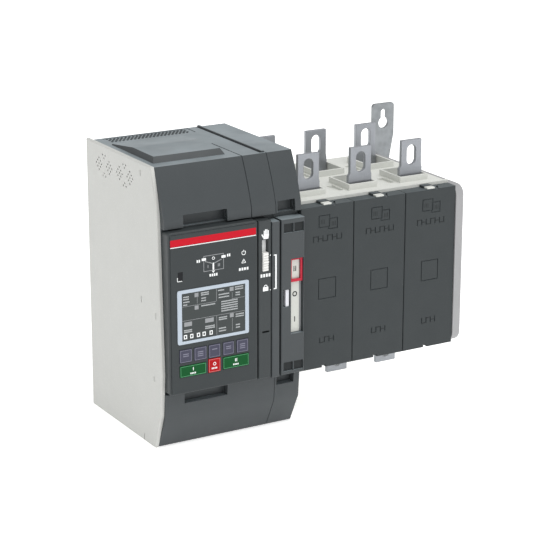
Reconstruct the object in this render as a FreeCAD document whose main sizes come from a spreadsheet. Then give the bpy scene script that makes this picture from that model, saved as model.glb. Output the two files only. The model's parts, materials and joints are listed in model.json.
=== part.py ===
import FreeCAD, Part
import math
import os

import Sketcher

# Automatic transfer switch: three poles on the right, motor operator on the left.
#
# Frame (millimetres): +X right, +Y towards the mounting panel, +Z up.
# The origin is in the mounting plane, at the centre of the four mounting holes.
# The contact roller turns about an X axis and is drawn in position II (source 2 closed).

SIZES = {
    # overall
    "operator_width": 124.75,
    "operator_height": 228.7,
    "operator_edge": -27.0,
    "pole_pitch": 50.0,
    "pole_height": 136.6,
    "cover_reach": 131.0,
    "face_reach": 138.0,
    "face_top": 66.7,
    "face_bottom": -64.7,
    # operator casing
    "panel_wall": 3.0,
    "hood_wall": 2.5,
    "hood_inset": 0.4,
    "hood_seam": -50.0,
    "hood_shoulder_reach": 116.0,
    "hood_brow_reach": 131.6,
    "hood_brow_height": 75.0,
    "hood_brow_radius": 203.0,
    "hood_chin_reach": 128.8,
    "hood_chin_height": -89.0,
    "notch_reach": 127.0,
    "notch_top": 67.6,
    "notch_bottom": -66.0,
    "grip_depth": 5.0,
    "vent_radius": 0.9,
    "vent_step": 2.45,
    "vent_group_step": 18.5,
    "lid_rise": 4.5,
    # control face
    "fascia_wall": 2.0,
    "overlay_thickness": 0.6,
    "key_gap": 0.25,
    "key_rise": 0.5,
    "key_travel": 0.8,
    "button_rise": 0.6,
    "board_thickness": 1.6,
    "selector_travel": 10.0,
    # mechanism
    "gear_module": 1.5,
    "gear_teeth": 36.0,
    "pinion_teeth": 12.0,
    "gear_width": 6.0,
    "gear_left": -47.0,
    "shaft_reach": 64.5,
    "shaft_radius": 7.0,
    "shaft_play": 0.05,
    "square_side": 11.0,
    "roller_radius": 15.0,
    "roller_play": 0.4,
    "rest_turn": -45.0,
    # switch block
    "housing_reach": 119.0,
    "housing_wall": 3.0,
    "housing_top": 69.7,
    "part_gap": 0.1,
    "collar_top": 74.7,
    "collar_width": 27.4,
    "collar_outer": 41.2,
    "collar_inner": 9.5,
    "collar_wall": 1.7,
    "bar_offset": 35.0,
    "bar_width": 20.0,
    "bar_thickness": 3.5,
    "bar_top": 104.2,
    "load_reach": 66.5,
    "load_bottom": -100.1,
    "slot_width": 9.0,
    "slot_length": 17.0,
    "slot_margin": 4.2,
    "blade_thickness": 4.0,
    "blade_reach": 31.0,
    "blade_width": 9.0,
    "jaw_gap": 0.3,
    "jaw_thickness": 1.5,
    "cap_width": 8.75,
    # mounting
    "mount_x": 135.0,
    "mount_z": 105.0,
    "screw_radius": 2.75,
    "keyhole_radius": 5.1,
    "keyhole_drop": 9.3,
    "plate_thickness": 2.5,
    "tie_radius": 2.5,
}

V = FreeCAD.Vector
ORIGIN_POINT = -1  # Sketcher's number for the sketch's own origin
START, END, CENTRE = 1, 2, 3

os.makedirs("parts", exist_ok=True)
doc = FreeCAD.newDocument("TransferSwitch")
sheet = doc.addObject("Spreadsheet::Sheet", "Dims")
for row, (alias, number) in enumerate(SIZES.items(), start=1):
    sheet.set(f"A{row}", str(number))
    sheet.setAlias(f"A{row}", alias)
doc.recompute()


class Size:
    """A length that carries its value together with the sheet formula that it is bound by."""

    def __init__(self, value, formula):
        self.value = value
        self.formula = formula

    def join(self, other, sign, value):
        return Size(value, f"({self.formula} {sign} {size_of(other).formula})")

    def __add__(self, other):
        return self.join(other, "+", self.value + size_of(other).value)

    def __sub__(self, other):
        return self.join(other, "-", self.value - size_of(other).value)

    def __mul__(self, other):
        return self.join(other, "*", self.value * size_of(other).value)

    def __truediv__(self, other):
        return self.join(other, "/", self.value / size_of(other).value)

    def __radd__(self, other):
        return size_of(other) + self

    def __rsub__(self, other):
        return size_of(other) - self

    def __rmul__(self, other):
        return size_of(other) * self

    def __neg__(self):
        return Size(-self.value, f"(-1 * {self.formula})")


def size_of(item):
    """A plain number as a Size, so that both can be mixed in one sum."""
    if isinstance(item, Size):
        return item
    return Size(float(item), f"({float(item):.6f})")


D = type("Dimensions", (), {alias: Size(number, f"Dims.{alias}") for alias, number in SIZES.items()})

LEFT = D.operator_edge - D.operator_width
RIGHT = D.operator_edge
TOP = D.operator_height / 2
BOTTOM = -TOP
SHAFT_Y = -D.shaft_reach
FACE_Y = -D.face_reach
PITCH_RADIUS = D.gear_module * D.gear_teeth / 2
PINION_RADIUS = D.gear_module * D.pinion_teeth / 2
PINION_Z = PITCH_RADIUS + PINION_RADIUS
ROLLER_TURN = FreeCAD.Rotation(V(1, 0, 0), SIZES["rest_turn"])
POLE_TOP = D.pole_height / 2
POLES = (1, 2, 3)


def pole_centre(pole):
    return D.operator_edge + D.pole_pitch * (pole - 0.5)


def bind(item, prop, size):
    item.setExpression(prop, size_of(size).formula)


# ---------------------------------------------------------------- bodies, sketches and features

AXES = {"X": "YZ_Plane", "Y": "XZ_Plane", "Z": "XY_Plane"}
nodes = []


def new_node(kind, label):
    """A document object that is written out as a sub-part of its own."""
    node = doc.addObject(kind, label)
    node.Label = label
    nodes.append(node)
    return node


def new_body(label, x=0, y=0, z=0, turn=None, is_node=True):
    """A PartDesign body whose own origin is placed at (x, y, z)."""
    kind = "PartDesign::Body"
    body = new_node(kind, label) if is_node else doc.addObject(kind, label)
    if turn:
        body.Placement = FreeCAD.Placement(V(), turn)
    for letter, size in (("x", x), ("y", y), ("z", z)):
        bind(body, f"Placement.Base.{letter}", size)
    return body


def new_sketch(body, axis, level):
    """A sketch across the given axis at that level. Across Y it shows X and Z, across X it shows Y and Z."""
    sketch = body.newObject("Sketcher::SketchObject", f"{body.Name}_outline")
    plane = next(p for p in body.Origin.OriginFeatures if p.Role == AXES[axis])
    sketch.AttachmentSupport = [(plane, "")]
    sketch.MapMode = "FlatFace"
    offset = -size_of(level) if axis == "Y" else size_of(level)
    bind(sketch, "AttachmentOffset.Base.z", offset)
    return sketch


def fix(sketch, kind, where, size):
    """Adds a size constraint and binds it to the sheet."""
    size = size_of(size)
    index = sketch.addConstraint(Sketcher.Constraint(kind, *where, size.value))
    sketch.setExpression(f"Constraints[{index}]", size.formula)


def fix_point(sketch, line, point, x, y):
    fix(sketch, "DistanceX", (ORIGIN_POINT, 1, line, point), x)
    fix(sketch, "DistanceY", (ORIGIN_POINT, 1, line, point), y)


def draw_circle(sketch, x, y, radius):
    x, y, radius = size_of(x), size_of(y), size_of(radius)
    circle = sketch.addGeometry(Part.Circle(V(x.value, y.value, 0), V(0, 0, 1), radius.value))
    fix_point(sketch, circle, CENTRE, x, y)
    fix(sketch, "Radius", (circle,), radius)


def draw_path(sketch, corners):
    """A closed outline. A corner is (x, y), or (x, y, radius) where an arc that bulges left arrives."""
    points = [V(size_of(c[0]).value, size_of(c[1]).value, 0) for c in corners]
    pieces = []
    for index, start in enumerate(points):
        after = (index + 1) % len(points)
        end, corner = points[after], corners[after]
        if len(corner) == 3:
            radius = size_of(corner[2]).value
            chord = end - start
            rise = radius - math.sqrt(radius**2 - chord.Length**2 / 4)
            side = V(-chord.y, chord.x, 0).normalize()
            middle = (start + end) * 0.5 + side * rise
            piece = sketch.addGeometry(Part.Arc(start, middle, end))
            # an arc that bulges left runs clockwise, so Sketcher swaps its ends
            pieces.append((piece, END, START))
            fix(sketch, "Radius", (piece,), corner[2])
        else:
            piece = sketch.addGeometry(Part.LineSegment(start, end))
            pieces.append((piece, START, END))
    for index, (piece, first, last) in enumerate(pieces):
        follower, follower_first, _ = pieces[(index + 1) % len(pieces)]
        sketch.addConstraint(Sketcher.Constraint("Coincident", piece, last, follower, follower_first))
        fix_point(sketch, piece, first, corners[index][0], corners[index][1])


def draw_box(sketch, left, bottom, right, top):
    draw_path(sketch, [(left, bottom), (right, bottom), (right, top), (left, top)])


def draw_slot(sketch, x, top, bottom, radius):
    """An upright slot with round ends, between the centres of its two end circles."""
    x, top, bottom, radius = (size_of(s) for s in (x, top, bottom, radius))
    left, right = x - radius, x + radius
    arcs = []
    for level, first_angle in ((top, 0), (bottom, math.pi)):
        circle = Part.Circle(V(x.value, level.value, 0), V(0, 0, 1), radius.value)
        arc = sketch.addGeometry(Part.ArcOfCircle(circle, first_angle, first_angle + math.pi))
        fix_point(sketch, arc, CENTRE, x, level)
        fix(sketch, "Radius", (arc,), radius)
        arcs.append(arc)
    upper, lower = arcs
    for side, low_end, high_end in ((left, (lower, START), (upper, END)), (right, (lower, END), (upper, START))):
        low_point = V(side.value, bottom.value, 0)
        line = sketch.addGeometry(Part.LineSegment(low_point, V(side.value, top.value, 0)))
        sketch.addConstraint(Sketcher.Constraint("Tangent", line, START, *low_end))
        sketch.addConstraint(Sketcher.Constraint("Tangent", line, END, *high_end))


def add(body, axis, low, high, draw, *args):
    """Pads the outline that draw makes, from low to high along the axis."""
    sketch = new_sketch(body, axis, high if axis == "Y" else low)
    draw(sketch, *args)
    pad = body.newObject("PartDesign::Pad", f"{body.Name}_pad")
    pad.Profile = sketch
    bind(pad, "Length", size_of(high) - low)
    doc.recompute()
    return pad


def remove(body, axis, low, high, draw, *args):
    """Pockets the outline that draw makes, from low to high along the axis."""
    before = body.Shape.Volume
    sketch = new_sketch(body, axis, low if axis == "Y" else high)
    draw(sketch, *args)
    pocket = body.newObject("PartDesign::Pocket", f"{body.Name}_pocket")
    pocket.Profile = sketch
    bind(pocket, "Length", size_of(high) - low)
    doc.recompute()
    if body.Shape.Volume > before - 1e-6:
        raise RuntimeError(f"{pocket.Name} cuts nothing from {body.Label}")
    return pocket


def repeat_along(body, feature, sketch_axis, step, count):
    """Repeats a feature in a straight row, along an axis of its own sketch."""
    pattern = body.newObject("PartDesign::LinearPattern", f"{body.Name}_row")
    pattern.Originals = [feature]
    pattern.Direction = (feature.Profile[0], [sketch_axis])
    bind(pattern, "Length", size_of(step) * (count - 1))
    pattern.Occurrences = count
    body.Tip = pattern
    doc.recompute()


def edges_where(feature, test):
    """Names of the feature's edges that pass a test on their lowest and highest corners."""
    return [
        f"Edge{number}"
        for number, edge in enumerate(feature.Shape.Edges, start=1)
        if test(edge.BoundBox)
    ]


def in_plane(letter, level):
    """A test for edges that lie wholly at one level along X, Y or Z."""
    def test(bounds):
        low = getattr(bounds, f"{letter}Min")
        high = getattr(bounds, f"{letter}Max")
        return abs(low - level) < 0.01 and abs(high - level) < 0.01
    return test


def round_edges(body, radius, test, kind="Fillet"):
    """Fillets or chamfers the edges of the body's last feature that pass the test."""
    base = body.Tip
    feature = body.newObject(f"PartDesign::{kind}", f"{body.Name}_edges")
    feature.Base = (base, edges_where(base, test))
    bind(feature, "Radius" if kind == "Fillet" else "Size", radius)
    doc.recompute()
    return feature


# ---------------------------------------------------------------- operator casing

def draw_left_panel(sketch):
    """The left panel's outline: its front edge stays behind the hood's front, most of all at mid-height."""
    draw_path(sketch, [
        (-1, BOTTOM),
        (-D.hood_shoulder_reach, BOTTOM),
        (-127.0, -84.0),
        (-129.8, -50.0),
        (-125.2, D.hood_brow_height),
        (-D.hood_shoulder_reach, TOP, D.hood_brow_radius),
        (-1, TOP),
    ])


GRILLE_FRONT, GRILLE_BACK = -23.8, -9.5


def draw_hood_profile(sketch, inset, back):
    """The side outline with the notch that the control face sits in."""
    inset = size_of(inset)
    notch = -D.notch_reach + inset
    draw_path(sketch, [
        (back, BOTTOM + inset),
        (-D.hood_shoulder_reach + inset * 0.62, BOTTOM + inset),
        (-D.hood_chin_reach + inset, D.hood_chin_height + inset * 0.25),
        (-D.hood_chin_reach - 1.9 + inset, D.notch_bottom - inset),
        (notch, D.notch_bottom - inset),
        (notch, D.notch_top + inset),
        (-D.hood_brow_reach - 0.3 + inset, D.notch_top + inset),
        (-D.hood_brow_reach + inset, D.hood_brow_height - inset * 0.2),
        (-D.hood_shoulder_reach + inset * 0.68, TOP - inset, D.hood_brow_radius),
        (back, TOP - inset),
    ])


def vent_places():
    """Centres of the ventilation holes as (y, z): four diamonds, and a three-hole group above or below each."""
    step = D.vent_step
    for group in range(4):
        centre_y = D.vent_group_step * (1.5 - group) - 52.5
        centre_z = size_of(98.5)
        for i in (-1, 0, 1):
            for j in (-1, 0, 1):
                yield centre_y + step * (i - j), centre_z - step * (i + j)
    for side in (0, 1):
        centre_y = D.vent_group_step * (1 - 2 * side) - 52.5
        for i, j in ((-1, 1), (1, 1), (0, 0)):
            yield centre_y + step * i, size_of(104.5) + step * j
            yield centre_y + step * i, size_of(92.3) - step * j


def draw_vents(sketch):
    for y, z in vent_places():
        draw_circle(sketch, y, z, D.vent_radius)


def draw_latch_slots(sketch):
    """Narrow openings over the catches that hold the panel, near its front and lower edges."""
    half_width, half_height = 0.5, 2.6
    for y, z in ((-98.6, 106.4), (-96.4, 4.0), (-121.2, -3.1), (-116.3, -56.0), (-97.0, -111.0)):
        draw_box(sketch, y - half_width, z - half_height, y + half_width, z + half_height)


def make_left_side_panel():
    body = new_body("left_side_panel")
    add(body, "X", LEFT, LEFT + D.panel_wall, draw_left_panel)
    round_edges(body, 1.0, in_plane("X", LEFT.value))
    remove(body, "X", LEFT - 1, LEFT + D.panel_wall + 1, draw_vents)
    remove(body, "X", LEFT - 1, LEFT + D.panel_wall + 1, draw_latch_slots)


def make_right_side_panel():
    body = new_body("right_side_panel")
    add(body, "X", RIGHT - D.panel_wall, RIGHT, draw_hood_profile, D.hood_wall + 0.8, -D.plate_thickness)
    remove(body, "X", RIGHT - D.panel_wall - 1, RIGHT + 1, draw_circle, SHAFT_Y, 0, D.shaft_radius + 1)
    remove(body, "X", RIGHT - D.panel_wall - 1, RIGHT + 1, draw_tie_holes, 0.2)


def cut_keyhole(body, x, z):
    """A screw head's hole with a narrower slot above it, whose upper end is the screw's seat."""
    through = (-D.plate_thickness - 1, 1)
    remove(body, "Y", *through, draw_slot, x, z, z - D.keyhole_drop, D.screw_radius)
    remove(body, "Y", *through, draw_circle, x, z - D.keyhole_drop, D.keyhole_radius)


def make_rear_base():
    """Back tray of the operator, with the left pair of mounting holes."""
    body = new_body("rear_base")
    left = LEFT + D.panel_wall
    right = RIGHT - D.panel_wall
    low = BOTTOM + D.hood_wall + 0.5
    add(body, "Y", -14, 0, draw_box, left, low, right, -low)
    wall = D.plate_thickness
    remove(body, "Y", -15, -wall, draw_box, left + wall, low + wall, right - wall, -low - wall)
    cut_keyhole(body, -D.mount_x, D.mount_z)
    remove(body, "Y", -wall - 1, 1, draw_circle, -D.mount_x, -D.mount_z, D.screw_radius)


def make_hood(label, left, right, grip_left, grip_right):
    """A bent cover round front, top and bottom, with a finger grip above and below the control face."""
    body = new_body(label)
    back = -7.0
    add(body, "X", left, right, draw_hood_profile, D.hood_inset, back)
    remove(body, "X", left - 1, right + 1, draw_hood_profile, D.hood_inset + D.hood_wall, back + 1)
    wall = 1.2
    for low, high in ((D.notch_top + 0.2, D.notch_top + 10), (D.notch_bottom - 10, D.notch_bottom - 0.2)):
        add(body, "Y", -D.notch_reach, -D.notch_reach + D.grip_depth, draw_box,
            size_of(grip_left) - wall, low - wall, size_of(grip_right) + wall, high + wall)
        remove(body, "Y", -D.face_reach, -D.notch_reach + D.grip_depth - wall, draw_box,
               grip_left, low, grip_right, high)
    return body


def draw_upper_skin(sketch, depth):
    """The outermost layer of the hood above the control face, round the front and on to the top."""
    start = D.notch_top + 0.4
    end = -67.0
    outside = -D.hood_brow_reach - 3
    draw_path(sketch, [
        (outside, start),
        (-D.hood_brow_reach + depth, start),
        (-D.hood_brow_reach + depth, D.hood_brow_height - depth * 0.2),
        (-D.hood_shoulder_reach + depth * 0.68, TOP - depth, D.hood_brow_radius),
        (end, TOP - depth),
        (end, TOP + 2),
        (outside, TOP + 2),
    ])


def make_front_hood_main():
    left = LEFT + D.panel_wall
    body = make_hood("front_hood_main", left, D.hood_seam - 0.2, -132, -93.5)
    # closed left end beside the panel's front edge
    add(body, "X", left, left + 1.6, draw_hood_profile, D.hood_inset, -100)
    # opening for the control unit's plug
    remove(body, "Y", -D.notch_reach - 1, -D.notch_reach + 5, draw_box, -130, -40, -95, 30)
    # opening under the ventilation grille
    remove(body, "Z", TOP - 6, TOP + 1, draw_box, -141, GRILLE_FRONT - 0.2, -63.4, GRILLE_BACK + 0.2)
    # shallow groove that divides the upper front
    remove(body, "X", -72.4, -71.6, draw_upper_skin, D.hood_inset + 0.7)


def make_front_hood_right():
    body = make_hood("front_hood_right", D.hood_seam + 0.2, RIGHT, -48.4, -32.4)
    floor = -D.notch_reach
    # slots for the position frame's arm and for the lock slide
    remove(body, "Y", floor - 1, floor + 4, draw_box, -40, -29, -38, 29)
    remove(body, "Y", floor - 1, floor + 4, draw_box, -45, -8.6, -40.8, 6.4)


def make_top_lid():
    """Raised lid with sloping sides, level over its front half, that runs out towards the back."""
    body = new_body("top_lid")
    left, right, slope = -143.5, -80.7, 2.3
    front, back = -104.8, -32.0
    floor = TOP - D.hood_inset
    crest = floor + D.lid_rise
    add(body, "X", left, right, draw_path, [
        (front, floor),
        (front + 4.3, crest),
        (-65.5, crest),
        (back, floor + 0.8),
        (back, floor),
    ])
    for side, outward in ((left, -1), (right, 1)):
        inward = -outward * slope
        remove(body, "Y", front - 1, back + 1, draw_path, [
            (side + outward, floor),
            (side, floor),
            (side + inward, crest),
            (side + inward, crest + 1),
            (side + outward, crest + 1),
        ])
    round_edges(body, 0.5, in_plane("Z", SIZES["operator_height"] / 2 - SIZES["hood_inset"] + SIZES["lid_rise"]))


def make_vent_grille():
    """Woven grille strip: staggered diamond openings leave a lattice of slanting bars."""
    body = new_body("vent_grille")
    left, right = -140.8, -63.6
    top = TOP - D.hood_inset - 0.3
    add(body, "Z", top - 2, top, draw_box, left, GRILLE_FRONT, right, GRILLE_BACK)
    step, row_step, rows, per_row = 3.4, 2.4, 5, 21
    half_width, half_depth = 1.2, 1.7
    for row in range(rows):
        x = left + 2.6 + (row % 2) * step / 2
        y = GRILLE_FRONT + 2.35 + row * row_step
        diamond = remove(body, "Z", top - 3, top + 1, draw_path, [
            (x, y - half_depth), (x + half_width, y), (x, y + half_depth), (x - half_width, y)])
        repeat_along(body, diamond, "H_Axis", step, per_row)


# ---------------------------------------------------------------- control face

FASCIA_LEFT, FASCIA_RIGHT = -148.6, -69.9
SOFT_KEYS = ((-140.25, -129.55), (-127.55, -116.65), (-114.65, -104.45), (-101.95, -92.25), (-89.75, -79.35))
MAIN_KEYS = {
    "source1_key": (-140.15, -50.6, -117.05, -41.4),
    "off_key": (-115.05, -50.9, -104.35, -39.6),
    "source2_key": (-102.05, -50.4, -78.85, -40.4),
}
KEYS = {
    f"soft_key_{number}": (left, -38.7, right, -28.1)
    for number, (left, right) in enumerate(SOFT_KEYS, start=1)
}
KEYS.update(MAIN_KEYS)
BEZEL = (-141.75, -23.6, -78.75, 20.2)
GLASS = (-137.95, -21.3, -81.95, 17.5)
FRONT = FACE_Y + D.overlay_thickness
BEHIND_FRONT = FRONT + D.fascia_wall
PLUNGER_END = BEHIND_FRONT + 2.6
BUTTON_FRONT = PLUNGER_END + D.key_travel + 0.6


def draw_key_openings(sketch):
    gap = D.key_gap
    for left, bottom, right, top in KEYS.values():
        draw_box(sketch, size_of(left) - gap, size_of(bottom) - gap, gap + right, gap + top)


def make_face_housing():
    """Box of the plug-in control unit, open at the back."""
    body = new_body("face_housing")
    left, right = FASCIA_LEFT, FASCIA_RIGHT
    back = -D.notch_reach - 0.3
    add(body, "Y", FRONT, back, draw_box, left, D.face_bottom, right, D.face_top)
    round_edges(body, 2.5, lambda b: b.YLength > 5)
    round_edges(body, 1.2, in_plane("Y", FRONT.value))
    wall = 2
    remove(body, "Y", BEHIND_FRONT, back + 1, draw_box,
           left + wall, D.face_bottom + wall, right - wall, D.face_top - wall)
    remove(body, "Y", FRONT - 1, BEHIND_FRONT + 1, draw_key_openings)
    remove(body, "Y", FRONT - 1, FRONT + 1.4, draw_box, *GLASS)


def make_face_overlay():
    """Printed film over the control unit's front."""
    body = new_body("face_overlay")
    add(body, "Y", FACE_Y, FRONT, draw_box, -147.0, D.face_bottom + 1.4, -71.9, D.face_top - 2.0)
    remove(body, "Y", FACE_Y - 1, FRONT + 1, draw_key_openings)
    remove(body, "Y", FACE_Y - 1, FRONT + 1, draw_box, *GLASS)


def make_display():
    """Display frame standing on the film, and the glass inside it."""
    bezel = new_body("display_bezel")
    add(bezel, "Y", FACE_Y - 0.6, FACE_Y, draw_box, *BEZEL)
    round_edges(bezel, 1.5, lambda b: b.YLength > 0.5 and b.XLength < 0.01)
    remove(bezel, "Y", FACE_Y - 2, FACE_Y + 1, draw_box, *GLASS)
    glass = new_body("display_glass")
    left, bottom, right, top = GLASS
    gap = 0.05
    add(glass, "Y", FACE_Y - 0.1, FRONT + 1.3, draw_box, left + gap, bottom + gap, right - gap, top - gap)


def make_key(label, left, bottom, right, top):
    """A key cap with a retaining flange behind the front wall and a plunger towards its switch."""
    body = new_body(label)
    flange_front = BEHIND_FRONT + 0.2
    flange = 0.4
    add(body, "Y", FACE_Y - D.key_rise, flange_front, draw_box, left, bottom, right, top)
    round_edges(body, 0.5, lambda b: b.YLength > 1 and b.XLength < 0.01)
    round_edges(body, 0.2, in_plane("Y", (FACE_Y - D.key_rise).value))
    add(body, "Y", flange_front, flange_front + 0.8, draw_box,
        left - flange, bottom - flange, right + flange, top + flange)
    middle_x, middle_z = (left + right) / 2, (bottom + top) / 2
    add(body, "Y", flange_front + 0.8, PLUNGER_END, draw_circle, middle_x, middle_z, 1.5)


def make_face_board():
    """Circuit board behind the keys, with a switch button opposite each plunger."""
    body = new_body("face_board")
    front = BUTTON_FRONT + D.button_rise
    add(body, "Y", front, front + D.board_thickness, draw_box, -146, -62, -73, 64)
    for left, bottom, right, top in KEYS.values():
        add(body, "Y", BUTTON_FRONT, front, draw_circle, (left + right) / 2, (bottom + top) / 2, 2)


def make_selector():
    """Hand / automatic selector: the strip with its slot, and the ridged slider at AUTO."""
    strip = new_body("selector_strip")
    left, right, low, high = -69.4, -58.1, -64.8, 65.6
    add(strip, "Y", FACE_Y, -D.notch_reach - 0.3, draw_box, left, low, right, high)
    round_edges(strip, 1.0, in_plane("Y", FACE_Y.value))
    slot_left, slot_right, slot_low = -66.3, -60.8, 24.4
    slider_height = 15.0
    remove(strip, "Y", FACE_Y - 1, FACE_Y + 4.2, draw_box, slot_left, slot_low,
           slot_right, D.selector_travel + slot_low + slider_height + 0.6)
    remove(strip, "Y", FACE_Y - 1, FACE_Y + 3, draw_box, -66.2, -26.5, -59.8, -25.1)

    slider = new_body("selector_slider")
    bottom = slot_low + 0.3
    add(slider, "Y", FACE_Y - 0.8, FACE_Y + 3.8, draw_box,
        slot_left + 0.3, bottom, slot_right - 0.3, bottom + slider_height)
    ridge_height, ridge_step = 1.0, 2.1
    for ridge in range(7):
        low_edge = bottom + 0.7 + ridge * ridge_step
        proud = 1.3 if ridge == 3 else 0.7
        add(slider, "Y", FACE_Y - 0.8 - proud, FACE_Y - 0.8, draw_box,
            slot_left + 0.5, low_edge, slot_right - 0.5, low_edge + ridge_height)


def make_centre_rib():
    body = new_body("centre_rib")
    add(body, "Y", FACE_Y - 0.2, -D.notch_reach - 0.3, draw_box, -57.4, -65.8, D.hood_seam - 0.2, 63.5)
    round_edges(body, 1.2, in_plane("Y", (FACE_Y - 0.2).value))


WINDOW = (-39.9, -31.6, -28.3, 30.9)
LABEL = (-38.1, -31.2, -30.6, 30.6)


def make_handle_plate():
    """Cover beside the control unit, with the position window, the lock slot and two ribbed grips."""
    body = new_body("handle_plate")
    left, right, low, high = -48.8, RIGHT - 0.3, -65.3, 64.0
    back = -D.notch_reach - 0.3
    add(body, "Y", FACE_Y, back, draw_box, left, low, right, high)
    round_edges(body, 1.2, in_plane("Y", FACE_Y.value))
    remove(body, "Y", FACE_Y - 1, FACE_Y + 4, draw_box, *WINDOW)
    remove(body, "Y", FACE_Y + 3, back + 1, draw_box, -39.7, -28.6, -38.4, 28.6)
    remove(body, "Y", FACE_Y - 1, back + 1, draw_box, -47.1, -8.4, -40.9, 6.1)
    for grip_low in (-62.4, 52.8):
        for groove in range(2):
            left_edge = -46.7 + groove * 9.6
            remove(body, "Y", FACE_Y - 1, FACE_Y + 1.2, draw_box,
                   left_edge, grip_low, left_edge + 8.8, grip_low + 7.6)


def make_position_label():
    """White scale behind the window, with a generic II, O, I scale printed on it."""
    body = new_body("position_label")
    left, bottom, right, top = LABEL
    add(body, "Y", FACE_Y + 3.2, FACE_Y + 4.0, draw_box, left, bottom, right, top)


def make_position_frame():
    """Red frame that travels over the scale, with its arm and the rack that the drive gear moves."""
    frame = new_body("position_frame")
    left, right, low, high = -39.5, -28.7, 11.3, 30.4
    front, back = FACE_Y + 1.2, FACE_Y + 2.8
    add(frame, "Y", front, back, draw_box, left, low, right, high)
    remove(frame, "Y", front - 1, back + 1, draw_box, left + 0.9, low + 2.2, right - 1.6, high - 1.0)
    arm_right, arm_back = -38.7, -95.0
    add(frame, "Y", back, arm_back, draw_box, left, 16, arm_right, 26)

    rack = new_body("indicator_rack")
    pitch = D.gear_module * math.pi
    pitch_line = SHAFT_Y - PITCH_RADIUS
    body_face = pitch_line - D.gear_module * 1.3
    rack_left, rack_right = D.gear_left, D.gear_left + D.gear_width
    bottom = -pitch * 1.25
    teeth = 12
    add(rack, "X", rack_left, rack_right, draw_box,
        body_face - 5, bottom - 2, body_face, bottom + pitch * teeth + 2)
    root, tip = 1.42, 0.52
    tooth = add(rack, "X", rack_left, rack_right, draw_path, [
        (body_face - 0.5, pitch / 2 - root),
        (pitch_line + D.gear_module * 0.85, pitch / 2 - tip),
        (pitch_line + D.gear_module * 0.85, pitch / 2 + tip),
        (body_face - 0.5, pitch / 2 + root),
    ])
    repeat_along(rack, tooth, "V_Axis", pitch, teeth - 1)
    # foot that carries the arm
    add(rack, "Y", arm_back, body_face, draw_box, rack_right - 1, 14, arm_right, 28)


def make_lock_slide():
    """Flat tongue that is drawn forwards so that a padlock can be hung in its hole."""
    body = new_body("lock_slide")
    left, right, low, high = -44.5, -41.4, -8.0, 5.8
    add(body, "Y", FACE_Y + 0.6, -112, draw_box, left, low, right, high)
    remove(body, "X", left - 1, right + 1, draw_circle, FACE_Y + 7, -1.1, 3)


# ---------------------------------------------------------------- drive mechanism

PLATE_LEFTS = {"mechanism_plate_left": -83.0, "mechanism_plate_right": -36.0}
PLATE_THICKNESS = 3.0
BUSH_RADIUS = 10.0
SPACER_PLACES = ((-106, 62), (-106, -45), (-18, 62), (-18, -45))


def make_mechanism_plate(label, left):
    """Steel side plate with bearing seats for the main shaft and the motor's pinion."""
    body = new_body(label)
    right = left + PLATE_THICKNESS
    add(body, "X", left, right, draw_box, -112, -52, -D.plate_thickness, 70)
    round_edges(body, 5, lambda b: b.XLength > 1 and b.YMax < -100)
    remove(body, "X", left - 1, right + 1, draw_circle, SHAFT_Y, 0, BUSH_RADIUS)
    remove(body, "X", left - 1, right + 1, draw_circle, SHAFT_Y, PINION_Z, D.shaft_play + 3)


def cylinder_x(name, radius, left, right, y, z):
    """A bar along X."""
    bar = doc.addObject("Part::Cylinder", name)
    bar.Placement = FreeCAD.Placement(V(), FreeCAD.Rotation(V(0, 1, 0), 90))
    bind(bar, "Radius", radius)
    bind(bar, "Height", size_of(right) - left)
    for letter, size in (("x", left), ("y", y), ("z", z)):
        bind(bar, f"Placement.Base.{letter}", size)
    return bar


def group(label, members):
    """Separate identical solids that share one node."""
    new_node("Part::Compound", label).Links = members


def make_frame_spacers():
    left = PLATE_LEFTS["mechanism_plate_left"] + PLATE_THICKNESS
    right = PLATE_LEFTS["mechanism_plate_right"]
    group("frame_spacers", [
        cylinder_x(f"spacer_{number}", 4, left, right, y, z)
        for number, (y, z) in enumerate(SPACER_PLACES, start=1)
    ])


def make_shaft_bushes():
    bushes = []
    for plate, left in PLATE_LEFTS.items():
        outer = cylinder_x(f"{plate}_bush", BUSH_RADIUS, left - 0.5, left + PLATE_THICKNESS + 0.5, SHAFT_Y, 0)
        bore = cylinder_x(f"{plate}_bore", D.shaft_radius + D.shaft_play, left - 2, left + 6, SHAFT_Y, 0)
        ring = doc.addObject("Part::Cut", f"{plate}_ring")
        ring.Base, ring.Tool = outer, bore
        bushes.append(ring)
    group("shaft_bushes", bushes)


ROLLER_LEFT, ROLLER_RIGHT = -26.6, 122.6


def draw_square(sketch, side):
    half = size_of(side) / 2
    draw_box(sketch, -half, -half, half, half)


def make_main_shaft():
    """Round in the operator, square through the poles, with a round journal in the end cap."""
    body = new_body("main_shaft", y=SHAFT_Y, turn=ROLLER_TURN)
    add(body, "X", -88, ROLLER_LEFT, draw_circle, 0, 0, D.shaft_radius)
    add(body, "X", ROLLER_LEFT, ROLLER_RIGHT, draw_square, D.square_side)
    add(body, "X", ROLLER_RIGHT, ROLLER_RIGHT + 5, draw_circle, 0, 0, 5)


def make_moving_contact(pole):
    """Copper bridge with two arms, keyed to the square shaft."""
    body = new_body(f"moving_contact_{pole}", x=pole_centre(pole), y=SHAFT_Y, turn=ROLLER_TURN)
    half = D.blade_thickness / 2
    half_width = D.blade_width / 2
    add(body, "X", -half, half, draw_circle, 0, 0, 12)
    add(body, "X", -half, half, draw_box, -half_width, -D.blade_reach, half_width, D.blade_reach)
    remove(body, "X", -half - 1, half + 1, draw_square, D.square_side)
    return body


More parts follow.
